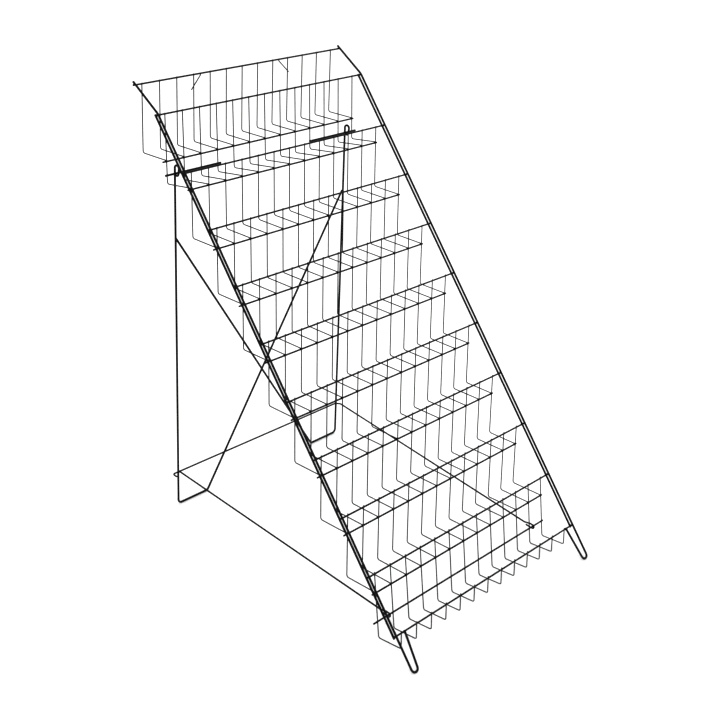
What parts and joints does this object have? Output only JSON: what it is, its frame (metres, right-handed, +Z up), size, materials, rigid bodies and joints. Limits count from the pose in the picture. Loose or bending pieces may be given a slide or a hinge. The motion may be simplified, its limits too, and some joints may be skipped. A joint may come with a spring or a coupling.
{
  "type": "brochure rack",
  "caption": "Folding wire brochure rack with sloping tiers of wire pockets, hairpin front feet, a cross-braced rear leg frame and a low stretcher.",
  "frame": {"origin": "bottom centre of the bounding box, on the floor between the front and rear feet", "axes": "+X to the right seen from the front, +Y from the pocket face to the rear legs, +Z up"},
  "size_m": [0.6108, 0.8902, 0.9434],
  "materials": {
    "black_wire": "semi-gloss black powder coat on round steel wire"
  },
  "bodies": {
    "rack": {"cross_wire_00": "black_wire", "cross_wire_01": "black_wire", "cross_wire_02": "black_wire", "cross_wire_03": "black_wire", "cross_wire_04": "black_wire", "cross_wire_05": "black_wire", "cross_wire_06": "black_wire", "cross_wire_07": "black_wire", "cross_wire_08": "black_wire", "cross_wire_09": "black_wire", "cross_wire_10": "black_wire", "floor_wire_01": "black_wire", "floor_wire_02": "black_wire", "floor_wire_03": "black_wire", "floor_wire_04": "black_wire", "floor_wire_05": "black_wire", "floor_wire_06": "black_wire", "floor_wire_07": "black_wire", "floor_wire_08": "black_wire", "floor_wire_09": "black_wire", "hook_bar": "black_wire", "left_front_rail": "black_wire", "left_pivot_bar": "black_wire", "left_rear_rail": "black_wire", "left_sign_clip": "black_wire", "pocket_wires_01": "black_wire", "pocket_wires_02": "black_wire", "pocket_wires_03": "black_wire", "pocket_wires_04": "black_wire", "pocket_wires_05": "black_wire", "pocket_wires_06": "black_wire", "pocket_wires_07": "black_wire", "pocket_wires_08": "black_wire", "pocket_wires_09": "black_wire", "pocket_wires_10": "black_wire", "right_front_rail": "black_wire", "right_pivot_bar": "black_wire", "right_rear_rail": "black_wire", "right_sign_clip": "black_wire"},
    "leg_frame": {"left_leg_wire": "black_wire", "right_leg_wire": "black_wire"},
    "stretcher": {"stretcher_left_arm": "black_wire", "stretcher_loop": "black_wire"}
  },
  "joints": [
    {"name": "leg_fold", "type": "hinge", "parent": "rack", "child": "leg_frame", "pos_m": [0, 0.35067, 0.76628], "axis": [1, 0, 0], "range_deg": [-34.5, 0]},
    {"name": "stretcher_swing", "type": "hinge", "parent": "rack", "child": "stretcher", "pos_m": [0, -0.32211, 0.04202], "axis": [1, 0, 0], "range_deg": [0, 40.38]}
  ],
  "couplings": [
    {"joint": "stretcher_swing", "follows": "leg_fold", "ratio": -1.17}
  ]
}
